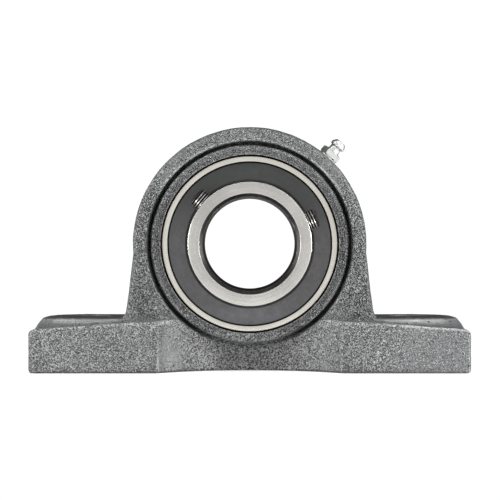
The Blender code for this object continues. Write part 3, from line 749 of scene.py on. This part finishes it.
def mark_painted_light(mesh):
    """Attributes for the paint: painted_light, above 0 where a highlight is painted and below 0 where
    shade is painted, and grain, how strongly the sand's texture shows.
    """
    at, sharp = edge_sharpness(mesh)
    x, y, z = np.abs(at[:, 0]), np.abs(at[:, 1]), at[:, 2]
    out = np.hypot(x, z - AXIS_Z)
    flank = ramp(x, (32.5, 0.15), (34.0, 1.0))
    # Painted highlight on convex edges and painted shade in concave creases.
    painted_light = np.clip(sharp / 0.16, -1.0, 1.0) * np.where(z < 17.0, flank, 1.0)
    # The masks below paint highlights on the ledge, the boss shoulders, the waist's edges and flanks, the
    # front rim and the waist middle, and paint shade in the seat valley, on the seat face, along the
    # bottom outline and base ends, and on the arch crown.
    valley = ramp(out, (36.0, 0.0), (36.6, 1.0), (38.4, 1.0), (39.0, 0.0))
    valley *= ramp(y, (12.0, 1.0), (12.8, 0.0))
    low_valley = ramp(out, (36.6, 0.0), (37.2, 0.7), (38.4, 0.7), (39.4, 0.0))
    low_valley *= ramp(z, (20.0, 1.0), (30.0, 0.0))
    seat_face = ramp(out, (36.5, 1.0), (36.9, 0.0)) * ramp(y, (12.8, 0.0), (13.2, 1.0))
    ledge = ramp(x, (24.0, 0.0), (30.0, 1.0), (45.0, 1.0), (48.0, 0.0)) * ramp(z, (17.0, 0.0), (17.8, 1.0))
    ledge *= ramp(z, (20.0, 1.0), (21.0, 0.0)) * ramp(y, (14.2, 0.0), (15.0, 1.0))
    shoulder = ramp(x, (48.0, 0.0), (52.0, 1.0)) * ramp(y, (11.0, 0.0), (14.0, 1.0))
    shoulder *= ramp(z, (17.4, 0.0), (18.2, 1.0), (19.0, 1.0), (19.6, 0.0))
    corner = ramp(x, (33.2, 0.0), (33.8, 0.35), (34.3, 0.35), (34.6, -0.6), (35.2, -0.3), (36.5, 0.0))
    corner *= ramp(z, (16.8, 1.0), (17.6, 0.0)) * ramp(y, (19.0, 0.0), (21.0, 1.0))
    waist = ramp(x, (30.0, 1.0), (34.0, 0.0)) * ramp(z, (17.5, 1.0), (19.0, 0.0))
    end_edge = ramp(x, (HALF_LENGTH - 0.6, 0.0), (HALF_LENGTH - 0.2, 1.2))
    end_edge *= ramp(y, (21.5, 0.0), (22.8, 1.0))
    outline = ramp(z, (0.3, 1.4), (0.9, 0.0)) + end_edge
    top = ramp(x, (42.0, 18.6), (HALF_LENGTH, FOOT_END_HEIGHT))
    rim = ramp(y, (23.1, 0.0), (23.6, 1.0)) * ramp(z - top, (-0.9, 0.0), (-0.4, 1.0))
    rim *= ramp(x, (34.5, 0.0), (36.0, 1.0))
    middle = ramp(x, (14.0, 1.0), (26.0, 0.0)) * ramp(z, (12.0, 1.0), (16.0, 0.0))
    crown = ramp(z, (62.0, 0.0), (80.0, 1.0)) * ramp(out, (38.5, 0.0), (39.5, 1.0))
    painted_light += 0.3 * ledge + 0.4 * shoulder + corner + 0.26 * waist + 0.5 * rim + 0.8 * middle
    painted_light -= 0.35 * valley + low_valley + 0.75 * seat_face + outline + 0.34 * crown
    # Painted shade on the paint over the bolt bosses' tops.
    pad = (x > 46.0) & (y < 12.0) & (z > BOSS_HEIGHT - 0.8)
    painted_light[pad] = PAD_SHADE
    store(mesh, "painted_light", np.clip(painted_light, -1.0, 1.0))
    grain = ramp(at[:, 0], (46.0, 1.0), (58.0, 0.3)) * ramp(z, (64.0, 1.0), (80.0, 0.3))
    grain *= ramp(x, (14.0, 1.5), (27.0, 0.55), (34.0, 0.55), (34.5, 1.1))
    grain *= 1.0 - ramp(x, (44.0, 0.0), (48.0, 1.0)) * ramp(z - top, (0.0, 0.0), (0.6, 0.85))
    store(mesh, "grain", grain)


def build_housing():
    body = to_object("housing_casting", prism(base_plan(), -SKIN, 30.0, "xy"))
    boolean(body, prism(base_elevation(), -40.0, 40.0, "xz"), "INTERSECT")
    boolean(body, arch_body(), "UNION")
    boolean(body, arch_root(), "UNION")
    for side in (-1, 1):
        boolean(body, boss(side), "UNION")
    for side in (-1, 1):
        boolean(body, waist_cutter(side), "DIFFERENCE")
    boolean(body, seat_boss(), "UNION")
    boolean(body, core_cutter(), "DIFFERENCE")
    for side in (-1, 1):
        slot = prism(stadium(side * BOLT_X, 2.0, 8.5, 16), -3.0, 30.0, "xy")
        boolean(body, slot, "DIFFERENCE")
    boolean(body, pocket_cutter(), "DIFFERENCE")
    fine = body.modifiers.new("skin", "REMESH")
    fine.mode = "VOXEL"
    fine.voxel_size = 0.5 * MM
    soft = body.modifiers.new("soft", "SMOOTH")
    soft.factor = 0.5
    soft.iterations = 3
    fewer = body.modifiers.new("fewer", "DECIMATE")
    fewer.ratio = 0.45
    apply_modifiers(body)
    roughen(body.data)
    flat = prism([(-99.0, -40.0), (99.0, -40.0), (99.0, 40.0), (-99.0, 40.0)], -5.0, 0.0, "xy")
    boolean(body, flat, "DIFFERENCE", "MANIFOLD")
    boolean(body, seat_cutter(), "DIFFERENCE", "MANIFOLD")
    fill = [(-36.9, -9.8), (36.9, -9.8), (36.9, 9.8), (-36.9, 9.8)]
    fill = prism([(x, z + AXIS_Z) for x, z in fill], 3.0, 18.0, "xz")
    boolean(body, fill, "DIFFERENCE", "MANIFOLD")
    spot = lathe_solid(
        [
            (0.0, 33.0),
            (1.5, 33.0),
            (1.5, 39.2),
            (2.7, 39.2),
            (2.7, NIPPLE_SEAT),
            (4.9, NIPPLE_SEAT),
            (4.9, 58.0),
            (0.0, 58.0),
        ],
        64,
    )
    boolean(body, spot, "DIFFERENCE", "MANIFOLD", radial(NIPPLE_ANGLE))
    mark_painted_light(body.data)
    paint_housing(body)
    smooth(body, 40.0)
    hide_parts("housing")
    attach(body, "housing")


def paint_housing(body):
    """Paint all over but for the machined seat, base and nipple hole; the bolt faces get a darker paint
    and the slots near-black, both as painted shade.
    """
    mesh = body.data
    mesh.materials.clear()
    for material in (cast_paint(), machined_iron(), bolt_face_paint(), painted_shade_black()):
        mesh.materials.append(material)
    out = Vector((math.cos(math.radians(NIPPLE_ANGLE)), 0.0, math.sin(math.radians(NIPPLE_ANGLE))))
    for face in mesh.polygons:
        place = face.center / MM
        at = place - CENTRE
        along = at.dot(out)
        bare = abs(at.y) < SEAT_HALF_WIDTH + 0.3 and at.length < 38.2 and at.xz.length < 37.4
        seat = bare and (abs(at.length - SEAT_RADIUS) < 0.12 or abs(at.y) < 1.7)
        drilled = (at - out * along).length < 2.9 and along > 30.0
        bottom = place.z < 0.05 and face.normal.z < -0.9
        reach = abs(abs(place.x) - BOLT_X)
        slot = math.hypot(max(reach - 2.0, 0.0), place.y) < 8.75 and place.z < BOSS_HEIGHT - 0.25
        top = abs(place.x) > ARCH_RADIUS and place.z > BOSS_HEIGHT - 0.35 and face.normal.z > 0.85
        if seat or drilled or bottom:
            face.material_index = 1
        elif slot and abs(place.x) > ARCH_RADIUS:
            face.material_index = 3
        elif top:
            face.material_index = 2


# ---------------------------------------------------------------- bearing insert

SEGMENTS = 192
BALL_RADIUS = 5.556


def raceway(bottom, outward, shoulder, steps=14):
    radius = 5.85
    centre = bottom - outward * radius
    reach = math.degrees(math.acos(abs(shoulder - centre) / radius))
    points = []
    for k in range(steps + 1):
        a = math.radians(-reach + 2.0 * reach * k / steps)
        points.append((centre + outward * radius * math.cos(a), radius * math.sin(a)))
    return points


def ring_piece(name, profile, material, body, node):
    ob = to_object(name, lathe_ring(profile, SEGMENTS))
    smooth(ob, 30.0)
    ob.data.materials.append(material)
    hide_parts(node)
    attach(ob, body)
    return ob


def build_outer_ring():
    rim = 8.7
    edge = math.degrees(math.asin(rim / 36.0))
    outside = [(r, y, 0.0) for r, y in arc((0.0, 0.0), 36.0, -edge, edge, 24)]
    corners = [(32.9, -9.5, 0.25)] + outside + [(32.9, 9.5, 0.25), (31.0, 9.5, 0.15)]
    corners += [(31.0, 6.9, 0.0), (30.3, 6.9, 0.1)]
    corners += [(r, y, 0.0) for r, y in reversed(raceway(32.45, 1, 30.3))]
    corners += [(30.3, -6.9, 0.1), (31.0, -6.9, 0.0), (31.0, -9.5, 0.15)]
    steel = ground_steel("outer_ring_steel", (0.6, 0.58, 0.53), (0.7, 0.68, 0.62), 0.2, 0.28)
    ob = to_object("outer_ring_turned", lathe_ring(rounded(corners, 3), SEGMENTS))
    for angle in (3.0, 183.0):
        drill = lathe_solid([(0.0, 26.0), (0.8, 26.0), (0.8, 40.0), (0.0, 40.0)], 24)
        boolean(ob, drill, "DIFFERENCE", "EXACT", radial(angle, 5.6))
    smooth(ob, 30.0)
    ob.data.materials.append(steel)
    ob.data.materials.append(dark_steel("outer_ring_dark_edges", (0.012, 0.012, 0.011), (0.03, 0.028, 0.026)))
    # Darker steel on the corner chamfers and on the steps by the seals.
    for face in ob.data.polygons:
        out = (face.center / MM - CENTRE).xz.length
        corner = 32.86 < out < 34.8 and abs(face.center.y) > 8.65 * MM
        step = out < 31.05 and 6.8 * MM < abs(face.center.y) < 9.4 * MM
        face.material_index = 1 if corner or step else 0
    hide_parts("outer_ring")
    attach(ob, "outer_ring")


def build_inner_ring():
    chamfer = 1.15
    corners = [
        (BORE_RADIUS, REAR_Y - chamfer, 0.2),
        (BORE_RADIUS, FRONT_Y + chamfer, 0.2),
        (BORE_RADIUS + chamfer, FRONT_Y, 0.12),
        (SHOULDER_RADIUS - 0.25, FRONT_Y, 0.25),
        (SHOULDER_RADIUS, FRONT_Y + 4.0, 0.3),
    ]
    corners += [(r, y, 0.0) for r, y in raceway(21.05, -1, SHOULDER_RADIUS)]
    corners += [(SHOULDER_RADIUS, REAR_Y, 0.45), (BORE_RADIUS + chamfer, REAR_Y, 0.12)]
    steel = ground_steel("inner_ring_steel", (0.44, 0.432, 0.41), (0.54, 0.53, 0.505), 0.22, 0.3)
    ob = to_object("inner_ring_turned", lathe_ring(rounded(corners, 4), SEGMENTS))
    hole = [(0.0, 10.0), (4.0, 10.0), (4.0, 22.6), (4.6, 23.4), (4.6, 30.0), (0.0, 30.0)]
    for angle in SCREW_ANGLES:
        drill = lathe_solid(hole, SCREW_COLUMNS)
        boolean(ob, drill, "DIFFERENCE", "EXACT", radial(angle, SCREW_Y))
    smooth(ob, 30.0)
    ob.data.materials.append(steel)
    # Painted shade: the front chamfer and the bore are darkened.
    ob.data.materials.append(dark_steel("inner_ring_chamfer_shade", (0.02, 0.019, 0.018), (0.045, 0.043, 0.04)))
    ob.data.materials.append(painted_shade_black("inner_ring_bore_shade"))
    for face in ob.data.polygons:
        out = (face.center / MM - CENTRE).xz.length
        chamfer_face = 17.62 < out < 18.5 and -0.95 < face.normal.y < -0.3
        face.material_index = 2 if out < 17.52 else 1 if chamfer_face else 0
    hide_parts("inner_ring")
    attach(ob, "inner_ring")


def build_covers():
    coat = dark_coat()
    lip_shade = painted_shade_black("slinger_lip_shade")
    seal = rubber()
    for tag, side in (("front", -1), ("rear", 1)):
        corners = [
            (23.15, 7.3, 0.1),
            (23.15, 10.1, 1.2),
            (30.5, 10.1, 0.3),
            (30.5, 9.3, 0.2),
            (23.95, 9.3, 0.3),
            (23.95, 7.3, 0.1),
        ]
        profile = [(r, side * y) for r, y in rounded(corners, 6)]
        node = "slinger_" + tag
        plate = ring_piece(node + "_pressed", profile, coat, "inner_ring", node)
        plate.data.materials.append(lip_shade)
        # Painted shade on the slinger's inner edge, in the gap by the inner ring.
        for face in plate.data.polygons:
            inner = (face.center / MM - CENTRE).xz.length < 24.4
            face.material_index = 1 if inner else 0
        corners = [
            (24.2, 7.45, 0.1),
            (24.2, 7.75, 0.1),
            (25.3, 8.2, 0.3),
            (30.75, 8.2, 0.2),
            (30.75, 7.1, 0.2),
            (25.3, 7.1, 0.3),
        ]
        profile = [(r, side * y) for r, y in rounded(corners, 4)]
        node = "seal_" + tag
        ring_piece(node + "_moulded", profile, seal, "outer_ring", node)


def build_balls():
    steel = polished_steel()
    for index in range(1, 10):
        node = "ball_%d" % index
        lo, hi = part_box(node)
        ob = to_object(node + "_ground", sphere(BALL_RADIUS, 20, 40), at_middle(lo, hi))
        smooth(ob, 60.0)
        ob.data.materials.append(steel)
        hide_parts(node)
        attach(ob, node)


def dress_cage():
    steel = pressed_steel()
    for name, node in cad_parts.items():
        if name.startswith("cage_"):
            node.data.materials.clear()
            node.data.materials.append(steel)


# ---------------------------------------------------------------- set screws


def build_set_screws():
    crests = thread_crest()
    roots = thread_root()
    pitch = 1.0
    low, high = 18.8, 26.8
    crest, root = 3.92, 3.36
    bright_from = 3.72
    tip = 2.6  # the taper at either end stops at this radius
    socket = 2.0  # half the hexagon socket's flats
    for index, angle in enumerate(SCREW_ANGLES, 1):
        node = "set_screw_%d" % index
        rings = []

        def ring(radius_at, z):
            points = []
            for k in range(SCREW_COLUMNS):
                d = 360.0 * k / SCREW_COLUMNS
                a = math.radians(d)
                r = radius_at(d)
                points.append((r * math.cos(a), r * math.sin(a), z))
            rings.append(points)

        def threaded(z):
            def radius_at(d):
                phase = (z / pitch - d / 360.0) % 1.0
                rise = 1.0 - abs(2.0 * phase - 1.0)
                shape = min(max((rise - 0.08) / 0.78, 0.0), 1.0)
                taper = min((z - low) / 0.9, (high - z) / 0.8, 1.0)
                top = tip + (crest - tip) * max(taper, 0.0)
                return min(root + (crest - root) * shape, max(top, tip))

            return radius_at

        ring(lambda d: 0.3, low + 1.1)
        ring(lambda d: 1.2, low + 0.9)
        ring(lambda d: 2.2, low)
        steps = int((high - low) / pitch * 8)
        for k in range(steps + 1):
            z = low + (high - low) * k / steps
            ring(threaded(z), z)
        ring(lambda d: 2.45, high)
        ring(lambda d: hexagon_radius(socket + 0.08, d), high - 0.25)
        ring(lambda d: hexagon_radius(socket, d), high - 0.4)
        ring(lambda d: hexagon_radius(socket, d), high - 3.6)
        ring(lambda d: 1.6, high - 4.0)
        ring(lambda d: 0.3, high - 4.6)
        ob = to_object(node + "_threaded", loft(rings))
        ob.data.materials.append(crests)
        ob.data.materials.append(roots)
        for face in ob.data.polygons:
            out = face.center.xy.length / MM
            face.material_index = 0 if out > bright_from else 1
        place = Matrix.Scale(MM, 4) @ radial(angle, SCREW_Y) @ Matrix.Scale(1.0 / MM, 4)
        ob.data.transform(place)
        smooth(ob, 28.0)
        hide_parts(node)
        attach(ob, node)


# ---------------------------------------------------------------- grease nipple


def build_nipple():
    columns = 48
    matrix = radial(NIPPLE_ANGLE)
    seat = NIPPLE_SEAT + 0.06
    rings = []

    def ring(radius, z, shape="round"):
        points = []
        for k in range(columns):
            d = 360.0 * k / columns
            a = math.radians(d + 34.0)
            r = radius
            if shape == "hex":
                r = hexagon_radius(radius, d)
            if shape == "soft":
                r = min(hexagon_radius(radius, d), radius * 1.1)
            points.append((r * math.cos(a), r * math.sin(a), z))
        rings.append(points)

    def thread(low, high, crest, root, pitch):
        z = low
        while z < high - 0.2:
            ring(root, z)
            ring(crest, z + pitch * 0.4)
            ring(crest, z + pitch * 0.55)
            z += pitch

    thread(39.7, 43.4, 2.62, 2.3, 0.75)
    ring(2.35, 43.6)
    for radius, rise, shape in (
        (2.35, 0.0, "round"),
        (3.6, 0.0, "round"),
        (3.7, 0.1, "round"),
        (3.7, 0.5, "round"),
        (3.55, 0.62, "round"),
        (3.35, 0.68, "hex"),
        (3.5, 0.85, "soft"),
        (3.5, 1.0, "hex"),
        (3.5, 2.95, "hex"),
        (3.5, 3.1, "soft"),
        (3.3, 3.3, "round"),
        (2.75, 3.35, "round"),
        (2.45, 3.5, "round"),
        (2.3, 3.9, "round"),
        (2.25, 4.6, "round"),
        (2.3, 5.2, "round"),
        (2.4, 5.4, "round"),
        (2.8, 5.5, "round"),
        (2.92, 5.7, "round"),
        (2.97, 6.1, "round"),
        (2.97, 6.5, "round"),
        (2.8, 6.8, "round"),
        (2.5, 7.3, "round"),
        (2.2, 7.7, "round"),
    ):
        ring(radius, seat + rise, shape)
    passage = [(2.1, 51.92), (1.9, 52.08), (1.4, 52.1), (0.8, 52.0), (0.65, 51.85), (0.65, 51.3)]
    passage += [(1.2, 50.7), (1.2, 41.0), (0.7, 41.0), (0.7, 39.7)]
    for radius, z in passage:
        ring(radius, z)
    body = to_object("grease_nipple_turned", loft(rings, loop=True), matrix)
    smooth(body, 30.0)
    body.data.materials.append(zinc())
    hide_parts("grease_nipple_body")
    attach(body, "housing")

    lo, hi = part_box("grease_nipple_ball")
    ball = to_object("nipple_ball_ground", sphere(1.0, 14, 28), at_middle(lo, hi))
    smooth(ball, 60.0)
    ball.data.materials.append(polished_steel())
    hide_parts("grease_nipple_ball")
    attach(ball, "nipple_ball")

    turns = 4
    low, high = 41.26, 49.47
    coil_radius = 0.85
    wire_radius = 0.13
    around = np.linspace(0, 2 * math.pi, 9)[:-1]
    sections = []
    steps = 24 * turns
    for k in range(steps + 1):
        a = 2.0 * math.pi * turns * k / steps
        out = Vector((math.cos(a), math.sin(a), 0.0))
        up = Vector((0.0, 0.0, 1.0))
        middle = out * coil_radius + up * (low + (high - low) * k / steps)
        wire = [out * math.cos(t) + up * math.sin(t) for t in around]
        sections.append([middle + wire_radius * point for point in wire])
    coil = to_object("nipple_spring_coil", loft(sections), matrix)
    smooth(coil, 60.0)
    coil.data.materials.append(pressed_steel())
    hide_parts("grease_nipple_spring")
    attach(coil, "housing")
    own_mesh(coil)


# ---------------------------------------------------------------- stage


def build_stage():
    bm = bmesh.new()
    bmesh.ops.create_circle(bm, cap_ends=True, segments=96, radius=0.30)
    mesh = bpy.data.meshes.new("floor")
    bm.to_mesh(mesh)
    bm.free()
    floor = link("floor", mesh)
    floor.location = (0.0, 0.0, -0.0002)
    n = Nodes("floor_pale")
    n.finish((0.86, 0.86, 0.86), 0.8, 0.0)
    n.shader.inputs["Emission Color"].default_value = (1.0, 1.0, 1.0, 1.0)
    n.shader.inputs["Emission Strength"].default_value = 0.5
    mesh.materials.append(n.mat)


def build_world():
    """White backdrop for the camera; soft light from the front half of the room for the rest."""
    world = bpy.data.worlds.new("studio")
    bpy.context.scene.world = world
    world.use_nodes = True
    tree = world.node_tree
    tree.nodes.clear()
    out = tree.nodes.new("ShaderNodeOutputWorld")
    coords = tree.nodes.new("ShaderNodeTexCoord")
    split = tree.nodes.new("ShaderNodeSeparateXYZ")
    tree.links.new(coords.outputs["Generated"], split.inputs[0])

    def step(operation, source, *constants):
        node = tree.nodes.new("ShaderNodeMath")
        node.operation = operation
        tree.links.new(source, node.inputs[0])
        for slot, value in enumerate(constants, 1):
            node.inputs[slot].default_value = value
        return node

    front = step("MULTIPLY", split.outputs["Y"], -1.0)
    front.use_clamp = True
    lobe = step("POWER", front.outputs[0], 2.0)
    level = step("MULTIPLY_ADD", lobe.outputs[0], 0.85, 0.08)
    room = tree.nodes.new("ShaderNodeBackground")
    tree.links.new(level.outputs[0], room.inputs["Strength"])
    room.inputs["Color"].default_value = (1.0, 1.0, 1.0, 1.0)
    backdrop = tree.nodes.new("ShaderNodeBackground")
    backdrop.inputs["Color"].default_value = (1.0, 1.0, 1.0, 1.0)
    backdrop.inputs["Strength"].default_value = 1.05
    path = tree.nodes.new("ShaderNodeLightPath")
    mix = tree.nodes.new("ShaderNodeMixShader")
    tree.links.new(path.outputs["Is Camera Ray"], mix.inputs["Fac"])
    tree.links.new(room.outputs[0], mix.inputs[1])
    tree.links.new(backdrop.outputs[0], mix.inputs[2])
    tree.links.new(mix.outputs[0], out.inputs["Surface"])


def area_light(name, place, size_x, size_y, power):
    data = bpy.data.lights.new(name, "AREA")
    data.shape = "RECTANGLE"
    data.size = size_x
    data.size_y = size_y
    data.energy = power
    ob = bpy.data.objects.new(name, data)
    bpy.context.scene.collection.objects.link(ob)
    ob.location = place
    aim = Vector((0.0, 0.0, 0.045)) - Vector(place)
    ob.rotation_euler = aim.to_track_quat("-Z", "Y").to_euler()


def build_lights():
    for kind, (x, y, z), size_x, size_y, power in (
        ("key", (0.42, -0.36, 0.52), 0.2, 0.2, 0.7),
        ("box", (0.70, -0.18, 0.12), 0.15, 0.3, 6.0),
        ("front", (0.34, -0.60, 0.10), 0.2, 0.2, 0.6),
    ):
        area_light("left_" + kind, (-x, y, z), size_x, size_y, power)
        area_light("right_" + kind, (x, y, z), size_x, size_y, power)
    area_light("top_strip", (0.0, -0.17, 0.65), 0.8, 0.08, 1.6)


def build_camera():
    data = bpy.data.cameras.new("camera")
    data.sensor_width = 36.0
    data.lens = 122.6
    data.shift_x = 0.0005
    data.shift_y = -0.0198
    data.clip_start = 0.05
    data.clip_end = 20.0
    camera = bpy.data.objects.new("camera", data)
    bpy.context.scene.collection.objects.link(camera)
    camera.location = (0.0, -0.650, 0.049)
    camera.rotation_euler = (math.radians(90.0), 0.0, 0.0)
    bpy.context.scene.camera = camera


# ---------------------------------------------------------------- assembly

build_housing()
build_outer_ring()
build_inner_ring()
build_covers()
build_balls()
dress_cage()
build_set_screws()
build_nipple()
build_stage()
build_world()
build_lights()
build_camera()

scene = bpy.context.scene
scene.view_settings.view_transform = "Standard"
